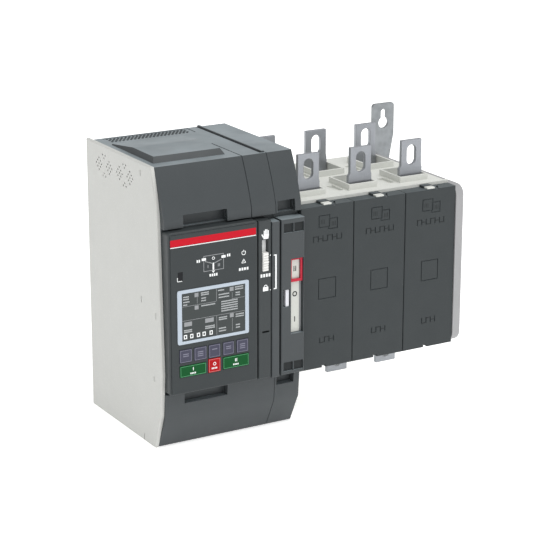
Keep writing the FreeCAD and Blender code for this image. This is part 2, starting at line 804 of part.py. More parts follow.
def make_contact_roller(contacts):
    """Moulded insulating drum that holds the moving contacts round the shaft."""
    drum = new_body("roller_drum", y=SHAFT_Y, turn=ROLLER_TURN, is_node=False)
    add(drum, "X", ROLLER_LEFT, ROLLER_RIGHT, draw_circle, 0, 0, D.roller_radius)
    remove(drum, "X", ROLLER_LEFT - 1, ROLLER_RIGHT + 1, draw_square, D.square_side)
    roller = new_node("Part::Cut", "contact_roller")
    slots = doc.addObject("Part::Compound", "contact_slots")
    slots.Links = contacts
    roller.Base, roller.Tool = drum, slots


def make_gear(label, teeth, bore, root_half, tip_half, y, z, turn):
    """A spur gear: root disc, one tapered tooth, and that tooth repeated round the axis."""
    body = new_body(label, x=D.gear_left, y=y, z=z, turn=FreeCAD.Rotation(V(1, 0, 0), turn))
    radius = D.gear_module * teeth / 2
    root = radius - D.gear_module * 1.2
    tip = radius + D.gear_module * 0.85
    add(body, "X", 0, D.gear_width, draw_circle, 0, 0, root)
    tooth = add(body, "X", 0, D.gear_width, draw_path, [
        (root - 0.8, -root_half),
        (tip, -tip_half),
        (tip, tip_half),
        (root - 0.8, root_half),
    ])
    pattern = body.newObject("PartDesign::PolarPattern", f"{label}_teeth")
    pattern.Originals = [tooth]
    pattern.Axis = (next(a for a in body.Origin.OriginFeatures if a.Role == "X_Axis"), [""])
    pattern.Angle = 360
    pattern.Occurrences = int(teeth.value)
    body.Tip = pattern
    doc.recompute()
    if bore:
        remove(body, "X", -1, D.gear_width + 1, draw_circle, 0, 0, bore)
    return body


def make_gears():
    """The drive gear on the shaft, and the motor's pinion with its own spindle."""
    make_gear("drive_gear", D.gear_teeth, D.shaft_radius, 1.45, 0.5, SHAFT_Y, 0, 0)
    half_tooth = 180 / SIZES["pinion_teeth"]
    pinion = make_gear("motor_pinion", D.pinion_teeth, None, 1.15, 0.42, SHAFT_Y, PINION_Z, half_tooth)
    spindle_left, spindle_right = -45.0, 12.5
    add(pinion, "X", spindle_left, spindle_right, draw_circle, 0, 0, 3)


def make_gear_motor():
    """Motor can with its gearbox flange, bolted to the left mechanism plate."""
    body = new_body("gear_motor", y=SHAFT_Y, z=PINION_Z)
    plate = PLATE_LEFTS["mechanism_plate_left"]
    add(body, "X", plate - 14, plate, draw_box, -21, -21, 21, 21)
    round_edges(body, 4, lambda b: b.XLength > 5)
    add(body, "X", plate - 56, plate - 14, draw_circle, 0, 0, 17.5)
    add(body, "X", plate - 60, plate - 56, draw_circle, 0, 0, 6)
    remove(body, "X", plate - 12, plate + 1, draw_circle, 0, 0, D.shaft_play + 3)


def make_control_board():
    """Upright control board beside the left panel, with its transformer and relays."""
    body = new_body("control_board")
    left = LEFT + D.panel_wall + 3
    right = left + D.board_thickness
    add(body, "X", left, right, draw_box, -112, -95, -18, 88)
    for y, z, width, height, rise in ((-95, -80, 36, 34, 30), (-48, -78, 22, 26, 16), (-100, 55, 24, 18, 12),
                                      (-60, 60, 30, 14, 8)):
        add(body, "X", right, right + rise, draw_box, y, z, y + width, z + height)


# ---------------------------------------------------------------- switch block

HOUSING_HALF = D.pole_pitch / 2 - D.part_gap / 2
CAVITY_TOP = D.housing_top - 7.7
TIE_PLACES = ((-112, 58), (-112, -58), (-18, 58), (-18, -58))


def draw_tie_holes(sketch, play):
    for y, z in TIE_PLACES:
        draw_circle(sketch, y, z, D.tie_radius + play)


def collar_span(side):
    """Front and back of the collar on that side of the shaft: -1 is the front, 1 the rear."""
    outer = SHAFT_Y + D.collar_outer * side
    inner = SHAFT_Y + D.collar_inner * side
    return (outer, inner) if side < 0 else (inner, outer)


def make_pole_housing(pole):
    """Moulded case of one pole, with a collar round each upper terminal."""
    body = new_body(f"pole_housing_{pole}", x=pole_centre(pole))
    half, front, back = HOUSING_HALF, -D.housing_reach, -D.plate_thickness
    wall, top, low = D.housing_wall, D.housing_top, -POLE_TOP + 0.4
    add(body, "Z", low, top, draw_box, -half, front, half, back)
    for side in (-1, 1):
        near, far = collar_span(side)
        collar_half = D.collar_width / 2
        add(body, "Z", top, D.collar_top, draw_box, -collar_half, near, collar_half, far)
        inside = collar_half - D.collar_wall
        remove(body, "Z", top - 3, D.collar_top + 1, draw_box,
               -inside, near + D.collar_wall, inside, far - D.collar_wall)
        # shallow well to the left of the collar
        remove(body, "Z", top - 2, top + 1, draw_box, -half + 2.5, near + 5, -collar_half - 2, far - 9)
    # lip along the front edge, and the tongue that the cover clips over
    add(body, "Z", top, top + 1.2, draw_box, -half, front, half, front + 2.2)
    add(body, "Z", POLE_TOP + 0.1, top, draw_box, -3, -D.cover_reach + 1, 4.2, front)
    remove(body, "Z", -CAVITY_TOP, CAVITY_TOP, draw_box, -half + wall, front + wall, half - wall, back - wall)
    bar_half = D.bar_width / 2 + 1.9
    slot_half = D.bar_thickness / 2 + 0.2
    for side in (-1, 1):
        plane = SHAFT_Y + D.bar_offset * side
        remove(body, "Z", CAVITY_TOP - 1, top, draw_box, -bar_half, plane - slot_half, bar_half, plane + slot_half)
    load = -D.load_reach
    remove(body, "Z", low - 1, -CAVITY_TOP + 1, draw_box, -bar_half, load - slot_half, bar_half, load + slot_half)
    remove(body, "X", -half - 1, half + 1, draw_circle, SHAFT_Y, 0, D.roller_radius + D.roller_play)
    remove(body, "X", -half - 1, half + 1, draw_tie_holes, 0)
    return body


def draw_ring(sketch, left, bottom, right, top, line):
    """The groove between one rectangle and a smaller one inside it."""
    draw_box(sketch, left, bottom, right, top)
    draw_box(sketch, left + line, bottom + line, right - line, top - line)


def make_pole_cover(pole):
    """Dark front cover of one pole, with sunken generic symbols and notches for the catches."""
    body = new_body(f"pole_cover_{pole}", x=pole_centre(pole))
    half = D.pole_pitch / 2 - 0.25
    front, back = -D.cover_reach, -D.housing_reach
    add(body, "Y", front, back, draw_box, -half, -POLE_TOP, half, POLE_TOP)
    round_edges(body, 0.8, in_plane("Y", -SIZES["cover_reach"]))
    wall = 2.5
    remove(body, "Y", front + wall, back + 1, draw_box, -half + wall, -POLE_TOP + wall, half - wall, POLE_TOP - wall)
    deep = front + 0.6
    # two overlapping screens near the top, a square in the middle
    remove(body, "Y", front - 1, deep, draw_ring, -8.6, 50.2, 2.4, 60.8, 1.0)
    remove(body, "Y", front - 1, deep, draw_ring, 0.4, 48.2, 9.6, 57.6, 1.0)
    remove(body, "Y", front - 1, deep, draw_ring, -8.4, -9.6, 8.6, 8.0, 0.8)
    # rows of short upright bars stand where the printed names would be
    for first, last, low, high in ((-6, 6, 38.8, 43.8), (-3, 3, -46.9, -41.9)):
        for place in range(first, last + 1, 2):
            middle = place * 2.2
            remove(body, "Y", front - 1, deep, draw_box, middle - 0.6, low, middle + 0.6, high)
    remove(body, "Z", POLE_TOP - 1, POLE_TOP + 1, draw_path, [
        (4.8, front - 1), (6.6, front - 1), (12.0, back - 4), (10.2, back - 4)])
    remove(body, "Z", -POLE_TOP - 1, -POLE_TOP + 2, draw_box, -4.2, front - 1, 0, front + 5)


def draw_bar_slot(sketch, low, high):
    """The bolt slot of a terminal, between its lowest and highest points."""
    radius = D.slot_width / 2
    draw_slot(sketch, 0, size_of(high) - radius, size_of(low) + radius, radius)


def add_jaw(body, corners):
    """Two contact fingers, one each side of the moving contact's path."""
    near = D.blade_thickness / 2 + D.jaw_gap
    far = near + D.jaw_thickness
    add(body, "X", near, far, draw_path, corners)
    add(body, "X", -far, -near, draw_path, corners)


def make_source_terminal(source, pole, side):
    """Flat bar with a bolt slot above and a two-finger jaw below."""
    body = new_body(f"source{source}_terminal_{pole}", x=pole_centre(pole), y=SHAFT_Y)
    half = D.bar_width / 2
    middle = D.bar_offset * side
    near, far = middle - D.bar_thickness / 2, middle + D.bar_thickness / 2
    shoulder, foot = 82.6, 30.0
    add(body, "Y", near, far, draw_path, [
        (-half - 1.6, foot), (half + 0.7, foot), (half + 0.7, shoulder - 2.5), (half, shoulder),
        (half, D.bar_top), (-half, D.bar_top), (-half, shoulder), (-half - 1.6, shoulder - 2.5)])
    high = D.bar_top - D.slot_margin
    remove(body, "Y", near - 1, far + 1, draw_bar_slot, high - D.slot_length, high)
    inner = far if side < 0 else near
    corners = [(14, 28), (14, 17), (23, 14), (28, 18)]
    outline = [(inner, foot), (inner, foot + 14)] + [(y * side, z) for y, z in corners]
    add_jaw(body, outline)


def make_load_terminal(pole):
    """Bar with a bolt slot below, a cross piece, and one jaw for each closed position."""
    body = new_body(f"load_terminal_{pole}", x=pole_centre(pole), y=SHAFT_Y)
    half = D.bar_width / 2
    middle = D.shaft_reach - D.load_reach
    near, far = middle - D.bar_thickness / 2, middle + D.bar_thickness / 2
    cross = -35.0
    add(body, "Y", near, far, draw_box, -half, D.load_bottom, half, cross)
    low = D.load_bottom + D.slot_margin
    remove(body, "Y", near - 1, far + 1, draw_bar_slot, low, low + D.slot_length)
    add(body, "Y", -28, 28, draw_box, -7, cross - 3.5, 7, cross)
    for side in (-1, 1):
        add_jaw(body, [(14 * side, cross), (14 * side, -17), (23 * side, -14), (28 * side, cross)])


def make_arc_chutes():
    """Two stacks of arc plates between insulating cheeks in each pole, clear of the moving contact."""
    plates_per_stack, first, step = 4, 7.0, 3.4
    low, high, plate_half, cheek = 35.0, 52.0, 9.0, 1.2
    stacks = []
    for pole in POLES:
        for side in (-1, 1):
            name = f"arc_chute_{pole}_{'rear' if side > 0 else 'front'}"
            stack = new_body(name, x=pole_centre(pole), y=SHAFT_Y, is_node=False)
            last = first + step * (plates_per_stack - 1) + 1
            span = sorted((first * side, last * side))
            add(stack, "Y", *span, draw_box, -plate_half - cheek, low, plate_half + cheek, high)
            for gap in range(plates_per_stack - 1):
                near = first + 1 + gap * step
                gap_span = sorted((near * side, (near + step - 1) * side))
                remove(stack, "Y", *gap_span, draw_box, -plate_half, low - 1, plate_half, high + 1)
            stacks.append(stack)
    group("arc_chutes", stacks)


def make_end_cap():
    """Light cover of the last pole, rounded at the front and hollow towards the pole."""
    body = new_body("end_cap")
    left = D.operator_edge + D.pole_pitch * 3
    right = left + D.cap_width
    front, back = -D.cover_reach - 0.8, -D.plate_thickness
    add(body, "X", left, right, draw_box, front, -POLE_TOP, back, POLE_TOP)
    round_edges(body, 9, lambda b: b.XLength > 5 and b.YMax < -100)
    round_edges(body, 3, lambda b: in_plane("X", right.value)(b) and b.YMin < back.value - 1)
    wall = 3
    remove(body, "X", left - 1, right - wall, draw_box, front + 5, -POLE_TOP + wall, back - wall, POLE_TOP - wall)
    add(body, "X", left, right - wall, draw_circle, SHAFT_Y, 0, 9)
    remove(body, "X", left - 1, left + 5.2, draw_circle, SHAFT_Y, 0, D.shaft_play + 5)


def make_mounting_bracket():
    """Steel plate behind the poles, with an ear at the upper and lower right."""
    body = new_body("mounting_bracket")
    ear_left, ear_right = D.mount_x - 11.4, D.mount_x + 11
    cap_right = D.operator_edge + D.pole_pitch * 3 + D.cap_width
    end = D.mount_z + 8
    add(body, "Y", -D.plate_thickness, 0, draw_path, [
        (RIGHT, -60), (ear_left, -60), (ear_left, -end), (ear_right, -end), (ear_right, -85),
        (cap_right, -10), (cap_right, 10), (ear_right, 85), (ear_right, end), (ear_left, end),
        (ear_left, 60), (RIGHT, 60)])
    round_edges(body, 3, lambda b: b.YLength > 1 and b.XMin > ear_left.value - 0.1 and abs(b.ZMin) > end.value - 0.1)
    cut_keyhole(body, D.mount_x, D.mount_z)
    remove(body, "Y", -D.plate_thickness - 1, 1, draw_circle, D.mount_x, -D.mount_z, D.screw_radius)


def make_tie_rods():
    """Rods that clamp the poles between the operator's right panel and the end cap."""
    left = RIGHT - D.panel_wall - 2.5
    right = D.operator_edge + D.pole_pitch * 3 + 3
    group("tie_rods", [
        cylinder_x(f"tie_rod_{number}", D.tie_radius, left, right, y, z)
        for number, (y, z) in enumerate(TIE_PLACES, start=1)
    ])


# ---------------------------------------------------------------- build everything

make_left_side_panel()
make_right_side_panel()
make_rear_base()
make_front_hood_main()
make_front_hood_right()
make_top_lid()
make_vent_grille()

make_face_housing()
make_face_overlay()
make_display()
for key_label, key_box in KEYS.items():
    make_key(key_label, *key_box)
make_face_board()
make_selector()
make_centre_rib()
make_handle_plate()
make_position_label()
make_position_frame()
make_lock_slide()

for plate_label, plate_left in PLATE_LEFTS.items():
    make_mechanism_plate(plate_label, plate_left)
make_frame_spacers()
make_shaft_bushes()
make_main_shaft()
make_gears()
make_gear_motor()
make_control_board()

for pole_number in POLES:
    make_pole_housing(pole_number)
    make_pole_cover(pole_number)
    make_source_terminal(1, pole_number, -1)
    make_source_terminal(2, pole_number, 1)
    make_load_terminal(pole_number)
make_contact_roller([make_moving_contact(pole_number) for pole_number in POLES])
make_arc_chutes()
make_end_cap()
make_mounting_bracket()
make_tie_rods()
doc.recompute()

# ---------------------------------------------------------------- check and write

failed = [item.Name for item in doc.Objects if {"Invalid", "Error"} & set(item.State)]
if failed:
    raise RuntimeError(f"these objects failed: {failed}")
for node in nodes:
    if node.Shape.isNull() or not node.Shape.isValid() or not node.Shape.Solids:
        raise RuntimeError(f"{node.Label} has no valid solid")
for node in nodes:
    node.Shape.exportStep(f"parts/{node.Label}.step")
    print(node.Label, len(node.Shape.Solids), round(node.Shape.Volume))
print(len(nodes), "nodes")
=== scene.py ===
import json
import math

import bmesh
import bpy
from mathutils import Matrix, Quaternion, Vector


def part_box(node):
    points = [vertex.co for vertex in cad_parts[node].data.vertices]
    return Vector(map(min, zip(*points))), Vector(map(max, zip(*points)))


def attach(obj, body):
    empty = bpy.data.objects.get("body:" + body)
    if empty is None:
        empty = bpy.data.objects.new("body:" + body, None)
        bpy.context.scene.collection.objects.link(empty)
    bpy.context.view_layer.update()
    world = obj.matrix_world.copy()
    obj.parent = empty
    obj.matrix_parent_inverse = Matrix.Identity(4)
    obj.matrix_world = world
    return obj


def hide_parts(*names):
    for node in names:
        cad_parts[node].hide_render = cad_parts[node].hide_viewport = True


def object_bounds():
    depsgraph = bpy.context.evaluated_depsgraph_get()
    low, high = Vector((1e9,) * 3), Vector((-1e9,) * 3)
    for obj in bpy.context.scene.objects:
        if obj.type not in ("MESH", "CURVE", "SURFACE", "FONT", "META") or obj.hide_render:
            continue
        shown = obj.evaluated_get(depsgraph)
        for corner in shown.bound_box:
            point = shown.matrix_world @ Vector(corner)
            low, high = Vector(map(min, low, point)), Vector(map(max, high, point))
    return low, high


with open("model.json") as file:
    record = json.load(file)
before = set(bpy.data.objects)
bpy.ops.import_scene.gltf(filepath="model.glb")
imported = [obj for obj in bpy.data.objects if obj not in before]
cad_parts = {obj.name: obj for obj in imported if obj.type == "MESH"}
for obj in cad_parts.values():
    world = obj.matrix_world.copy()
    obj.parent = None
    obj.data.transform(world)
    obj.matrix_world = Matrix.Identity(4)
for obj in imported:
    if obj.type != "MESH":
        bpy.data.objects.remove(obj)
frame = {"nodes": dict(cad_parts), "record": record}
cad_low, cad_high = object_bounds()

MM = 0.001
ROOT = "switch_frame"
NODES = frame["nodes"]
BODY_OF = {node: body for body, members in frame["record"]["behaviour"]["bodies"].items() for node in members}
SLOT_OF = {part["node"]: part["material_slot"] for part in frame["record"]["subparts"]}
POLES = (1, 2, 3)


# ---------------------------------------------------------------- camera, light and floor

def make_camera():
    """Stands in front of the switch, to its left and a little above it."""
    azimuth, elevation, roll = (math.radians(angle) for angle in (-30.2, 16.87, 0.04))
    data = bpy.data.cameras.new("camera")
    data.sensor_width = 36
    data.lens = 129.6
    camera = bpy.data.objects.new("camera", data)
    back = Vector((
        math.sin(azimuth) * math.cos(elevation),
        -math.cos(azimuth) * math.cos(elevation),
        math.sin(elevation),
    ))
    camera.rotation_mode = "QUATERNION"
    camera.rotation_quaternion = (-back).to_track_quat("-Z", "Y") @ Quaternion((0, 0, 1), roll)
    camera.location = (-0.79465, -1.4015, 0.46817)
    bpy.context.scene.collection.objects.link(camera)
    bpy.context.scene.camera = camera


def make_sun(name, strength, softness, towards):
    """A soft light from far away that shines in the given direction."""
    data = bpy.data.lights.new(name, "SUN")
    data.energy = strength
    data.angle = math.radians(softness)
    light = bpy.data.objects.new(name, data)
    light.rotation_mode = "QUATERNION"
    light.rotation_quaternion = Vector(towards).to_track_quat("-Z", "Y")
    bpy.context.scene.collection.objects.link(light)


def make_studio():
    """White surroundings, a soft light from above and a weak one from in front."""
    scene = bpy.context.scene
    scene.view_settings.view_transform = "Standard"
    world = bpy.data.worlds.new("studio")
    world.use_nodes = True
    sky = world.node_tree.nodes["Background"]
    sky.inputs["Color"].default_value = (1.0, 1.0, 1.0, 1.0)
    sky.inputs["Strength"].default_value = 0.70
    scene.world = world
    make_sun("key_light", 1.6, 50, (-0.15, 0.35, -1.0))
    make_sun("front_light", 0.2, 60, (0.1, 1.0, -0.25))


def make_floor():
    """A pale sheet just under the switch, which glows a little so that it stays white."""
    size = 9.0
    mesh = bpy.data.meshes.new("floor")
    corners = [(-size, -size), (size, -size), (size, size), (-size, size)]
    mesh.from_pydata([(x, y, cad_low.z - 0.0002) for x, y in corners], [], [(0, 1, 2, 3)])
    floor = bpy.data.objects.new("floor", mesh)
    bpy.context.scene.collection.objects.link(floor)
    paper = Graph("floor_paper")
    tone = paper.mix(paper.noise(300, 2), (0.93, 0.93, 0.93), (0.95, 0.95, 0.95))
    paper.finish(tone, 0.9)
    paper.shader.inputs["Emission Color"].default_value = (1.0, 1.0, 1.0, 1.0)
    paper.shader.inputs["Emission Strength"].default_value = 0.5
    floor.data.materials.append(paper.material)


# ---------------------------------------------------------------- materials

def rgba(colour):
    return (*colour, 1.0)


def shade(colour, factor):
    return tuple(min(1.0, part * factor) for part in colour)


class Graph:
    """A procedural material. Its patterns are laid out in the row frame, with sizes in millimetres."""

    def __init__(self, name):
        self.material = bpy.data.materials.new(name)
        self.material.use_nodes = True
        self.tree = self.material.node_tree
        self.shader = self.tree.nodes["Principled BSDF"]
        self.place = self.add("ShaderNodeTexCoord").outputs["Object"]

    def add(self, kind, inputs=(), **settings):
        node = self.tree.nodes.new(kind)
        for name, value in settings.items():
            setattr(node, name, value)
        for name, value in dict(inputs).items():
            self.put(node, name, value)
        return node

    def put(self, node, name, value):
        if isinstance(value, bpy.types.NodeSocket):
            self.tree.links.new(value, node.inputs[name])
        else:
            node.inputs[name].default_value = value

    def noise(self, size, detail=2.0, stretch=(1, 1, 1)):
        """Soft noise with lumps of about that size, drawn out along the stretched axes."""
        squeezed = tuple(1 / (size * MM * part) for part in stretch)
        mapping = self.add("ShaderNodeMapping", {"Vector": self.place, "Scale": squeezed})
        texture = self.add("ShaderNodeTexNoise", {
            "Vector": mapping.outputs[0], "Scale": 1.0, "Detail": detail})
        return texture.outputs["Fac"]

    def cells(self, size):
        """Distance to the nearest of many scattered points."""
        texture = self.add("ShaderNodeTexVoronoi", {"Vector": self.place, "Scale": 1 / (size * MM)})
        return texture.outputs["Distance"]

    def spread(self, value, low, high, from_low=0.3, from_high=0.7):
        """Maps noise, which mostly lies between from_low and from_high, on to low to high."""
        node = self.add("ShaderNodeMapRange", {
            "Value": value, "From Min": from_low, "From Max": from_high, "To Min": low, "To Max": high})
        return node.outputs["Result"]

    def mix(self, share, first, second):
        node = self.add("ShaderNodeMix", data_type="RGBA")
        self.put(node, 0, share)
        for index, colour in ((6, first), (7, second)):
            is_colour = isinstance(colour, tuple)
            self.put(node, index, rgba(colour) if is_colour else colour)
        return node.outputs[2]

    def bump(self, height, depth, under=None):
        """Relief of that depth in millimetres."""
        node = self.add("ShaderNodeBump", {"Height": height, "Strength": 1.0, "Distance": depth * MM})
        if under:
            self.put(node, "Normal", under)
        return node.outputs["Normal"]

    def edges(self, radius):
        """Near 1 within that many millimetres of a sharp edge and 0 elsewhere."""
        rounded = self.add("ShaderNodeBevel", {"Radius": radius * MM}, samples=4)
        true = self.add("ShaderNodeNewGeometry")
        dot = self.add("ShaderNodeVectorMath", operation="DOT_PRODUCT")
        self.put(dot, 0, rounded.outputs["Normal"])
        self.put(dot, 1, true.outputs["Normal"])
        return self.spread(dot.outputs["Value"], 1.0, 0.0, 0.75, 0.99)

    def facing_up(self):
        """1 on faces that look upwards and 0 on upright ones."""
        surface = self.add("ShaderNodeNewGeometry")
        parts = self.add("ShaderNodeSeparateXYZ", {"Vector": surface.outputs["Normal"]})
        return self.spread(parts.outputs["Z"], 0.0, 1.0, 0.72, 0.99)

    def finish(self, colour, roughness, normal=None, metallic=0.0, specular=0.5):
        self.put(self.shader, "Base Color", colour)
        self.put(self.shader, "Roughness", roughness)
        self.shader.inputs["Metallic"].default_value = metallic
        self.shader.inputs["Specular IOR Level"].default_value = specular
        if normal:
            self.put(self.shader, "Normal", normal)
        return self.material


def moulded_plastic(name, colour, roughness=0.5, mottle=0.05, edge_wear_and_highlight=0.0, grain=0.5, depth=0.012,
                    painted_top_light=0.0, specular=0.4):
    """Injection-moulded plastic: fine grain, faint flow clouds, edges lightened as partly real wear and
    partly painted highlight, and painted light that lightens upward faces.
    """
    g = Graph(name)
    tone = g.mix(g.noise(40, 3), shade(colour, 1 - mottle), shade(colour, 1 + mottle))
    flecks = g.spread(g.noise(0.9, 2), 0.0, 0.5, 0.55, 0.75)
    tone = g.mix(flecks, tone, shade(colour, 1.22))
    # Painted light: faces that look upwards are made lighter, in patches, as if lit from above.
    if painted_top_light:
        lit_top_share = g.add("ShaderNodeMath", operation="MULTIPLY")
        g.put(lit_top_share, 0, g.facing_up())
        g.put(lit_top_share, 1, g.spread(g.noise(30, 3), 0.7, 1.0))
        tone = g.mix(lit_top_share.outputs[0], tone, shade(colour, 1 + painted_top_light))
    # Partly real wear and partly painted highlight: the colour is made lighter near sharp edges, in patches.
    if edge_wear_and_highlight:
        wear_and_highlight_mask = g.add("ShaderNodeMath", operation="MULTIPLY")
        g.put(wear_and_highlight_mask, 0, g.edges(0.7))
        g.put(wear_and_highlight_mask, 1, g.spread(g.noise(9, 3), 0.25, 1.0))
        tone = g.mix(wear_and_highlight_mask.outputs[0], tone, shade(colour, 1 + edge_wear_and_highlight))
    gloss = g.spread(g.noise(14, 4), roughness - 0.05, roughness + 0.05)
    relief = g.bump(g.noise(grain, 2), depth)
    relief = g.bump(g.noise(60, 1), 0.06, relief)
    return g.finish(tone, gloss, relief, specular=specular)


def printed_ink(name, colour, roughness=0.45):
    """Screen-printed ink with a slightly uneven coat."""
    g = Graph(name)
    tone = g.mix(g.noise(0.7, 3), shade(colour, 0.9), shade(colour, 1.06))
    gloss = g.spread(g.noise(2.5, 2), roughness - 0.06, roughness + 0.08)
    return g.finish(tone, gloss, g.bump(g.noise(0.25, 1), 0.004), specular=0.2)


def plated_metal(name, colour, roughness=0.36, along=(1, 1, 14), metallic=0.85):
    """Tin or zinc plating: fine rolling lines along the metal and cloudy dull patches."""
    g = Graph(name)
    lines = g.noise(0.45, 3, along)
    clouds = g.noise(12, 4)
    tone = g.mix(clouds, shade(colour, 0.9), shade(colour, 1.08))
    tone = g.mix(g.spread(lines, 0.0, 0.35), tone, shade(colour, 0.78))
    gloss = g.spread(clouds, roughness - 0.06, roughness + 0.1)
    return g.finish(tone, gloss, g.bump(lines, 0.006), metallic)


def machined_metal(name, colour, roughness=0.28, across=(10, 1, 1)):
    """Turned or milled metal with tool marks."""
    return plated_metal(name, colour, roughness, across, 1.0)


def zinc_plate(name, colour):
    """Zinc-plated sheet with faint crystals."""
    g = Graph(name)
    crystals = g.cells(5)
    tone = g.mix(g.spread(crystals, 0.0, 1.0, 0.1, 0.7), shade(colour, 0.92), shade(colour, 1.08))
    tone = g.mix(g.spread(g.noise(18, 4), 0.0, 0.4), tone, shade(colour, 0.8))
    gloss = g.spread(g.noise(7, 3), 0.34, 0.5)
    return g.finish(tone, gloss, g.bump(g.noise(0.5, 2), 0.008), 0.85)


def circuit_board(name):
    """Green solder resist over a faint grid of copper tracks."""
    g = Graph(name)
    tracks = g.add("ShaderNodeTexBrick", {
        "Vector": g.place, "Scale": 1 / (30 * MM), "Mortar Size": 0.012,
        "Color1": rgba((0.01, 0.10, 0.04)), "Color2": rgba((0.01, 0.12, 0.05)),
        "Mortar": rgba((0.04, 0.22, 0.09))})
    tone = g.mix(g.spread(g.noise(6, 3), 0.0, 0.4), tracks.outputs["Color"], (0.01, 0.08, 0.035))
    return g.finish(tone, 0.32, g.bump(tracks.outputs["Fac"], 0.03))


def display_window(name):
    """Dark window of the display, a little glossy, with a fine dot screen behind it."""
    g = Graph(name)
    dots = g.spread(g.cells(0.35), 1.0, 0.0, 0.1, 0.5)
    tone = g.mix(g.noise(25, 2), (0.030, 0.037, 0.037), (0.038, 0.046, 0.046))
    tone = g.mix(dots, tone, (0.042, 0.050, 0.048))
    return g.finish(tone, g.spread(g.noise(20, 2), 0.16, 0.24), g.bump(g.noise(30, 1), 0.02), specular=0.3)


DARK = (0.043, 0.050, 0.0535)
KEY_FINISH = {"roughness": 0.35, "mottle": 0.05, "edge_wear_and_highlight": 0.2, "grain": 0.3, "depth": 0.005, "specular": 0.15}
MATERIALS = {
    "panel_grey": moulded_plastic("panel_plastic", (0.495, 0.50, 0.478), 0.5, 0.02, 0.45),
    "base_plastic": moulded_plastic("base_plastic", (0.048, 0.055, 0.060), 0.55, 0.05, 0.5),
    # The hood and the pole covers get painted light on their upward faces.
    "hood_plastic": moulded_plastic("hood_plastic", DARK, 0.46, 0.05, 0.55, painted_top_light=4.2),
    "cover_plastic": moulded_plastic(
        "cover_plastic", (0.030, 0.036, 0.038), 0.5, 0.05, 0.45, painted_top_light=1.5, specular=0.3),
    "face_plastic": moulded_plastic("face_plastic", (0.036, 0.042, 0.044), 0.42, 0.04, 0.4, specular=0.3),
    "face_film": moulded_plastic(
        "face_film", (0.032, 0.038, 0.040), 0.4, 0.03, 0.0, 0.3, 0.006, specular=0.25),
    "bezel_print": printed_ink("bezel_ink", (0.44, 0.50, 0.57), 0.4),
    "display_glass": display_window("display_window"),
    "key_violet": moulded_plastic("key_violet", (0.058, 0.058, 0.088), **KEY_FINISH),
    "key_green": moulded_plastic("key_green", (0.000, 0.072, 0.014), **KEY_FINISH),
    "key_red": moulded_plastic("key_red", (0.37, 0.003, 0.005), **KEY_FINISH),
    "frame_red": moulded_plastic(
        "frame_red", (0.46, 0.022, 0.045), 0.38, 0.06, 0.2, 0.4, 0.008, specular=0.2),
    "label_white": printed_ink("label_white", (0.60, 0.61, 0.57), 0.5),
    "slider_plastic": moulded_plastic("slider_plastic", (0.74, 0.74, 0.72), 0.42, 0.03, 0.1, 0.4, 0.008),
    "lock_plastic": moulded_plastic("lock_plastic", (0.64, 0.64, 0.68), 0.45, 0.03, 0.1),
    "insulating_plastic": moulded_plastic(
        "insulating_plastic", (0.20, 0.17, 0.13), 0.6, 0.12, 0.2, 1.2, 0.03),
    "housing_plastic": moulded_plastic("housing_plastic", (0.63, 0.64, 0.605), 0.5, 0.03, 0.08),
    "cap_plastic": moulded_plastic("cap_plastic", (0.31, 0.31, 0.315), 0.5, 0.04, 0.2),
    "plated_copper": plated_metal("plated_copper", (0.33, 0.345, 0.37), 0.42),
    "zinc_steel": zinc_plate("zinc_steel", (0.26, 0.275, 0.285)),
    "bright_steel": machined_metal("bright_steel", (0.55, 0.55, 0.57)),
    "bearing_bronze": machined_metal("bearing_bronze", (0.42, 0.26, 0.11), 0.35),
    "motor_can": moulded_plastic("motor_can", (0.03, 0.03, 0.034), 0.35, 0.1, 0.6, 0.8, 0.02),
    "circuit_board": circuit_board("circuit_board"),
}
WHITE_INK = printed_ink("ink_white", (0.84, 0.86, 0.86))
PALE_INK = printed_ink("ink_pale", (0.50, 0.52, 0.53))
GREY_INK = printed_ink("ink_grey", (0.28, 0.29, 0.30))
DARK_INK = printed_ink("ink_dark", (0.016, 0.019, 0.020))
RED_INK = printed_ink("ink_red", (0.50, 0.000, 0.012), 0.5)
# Black for painted shade: in the seam's gap on the hood, the port's recess, the lock slot and behind the left
# panel's openings.
PAINTED_SHADE_BLACK = printed_ink("painted_shade_black", (0.010, 0.011, 0.013), 0.6)
VIOLET_INK = printed_ink("ink_violet", (0.21, 0.21, 0.27))
GREEN_INK = printed_ink("ink_green", (0.11, 0.36, 0.18))
PINK_INK = printed_ink("ink_pink", (0.62, 0.22, 0.22))


# ---------------------------------------------------------------- mesh helpers

def new_piece(name, mesh, body, slot, material=None):
    """An object of the switch that rides on a body and takes its finish from a material slot."""
    mesh.materials.clear()
    mesh.materials.append(material or MATERIALS[slot])
    piece = bpy.data.objects.new(name, mesh)
    bpy.context.scene.collection.objects.link(piece)
    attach(piece, body)
    return piece


def smooth_with_creases(bm, crease):
    """Smooth shading everywhere, but for edges that turn by more than crease degrees."""
    for face in bm.faces:
        face.smooth = True
    for edge in bm.edges:
        turned = len(edge.link_faces) != 2 or edge.calc_face_angle(math.pi) > math.radians(crease)
        edge.smooth = not turned


def mesh_of(name, bm, crease=35):
    bmesh.ops.recalc_face_normals(bm, faces=bm.faces)
    smooth_with_creases(bm, crease)
    mesh = bpy.data.meshes.new(name)
    bm.to_mesh(mesh)
    bm.free()
    return mesh


def weight_normals(piece):
    """Lets the large flat faces decide the shading of the narrow rounded edges beside them."""
    modifier = piece.modifiers.new("flat_shading", "WEIGHTED_NORMAL")
    modifier.keep_sharp = True


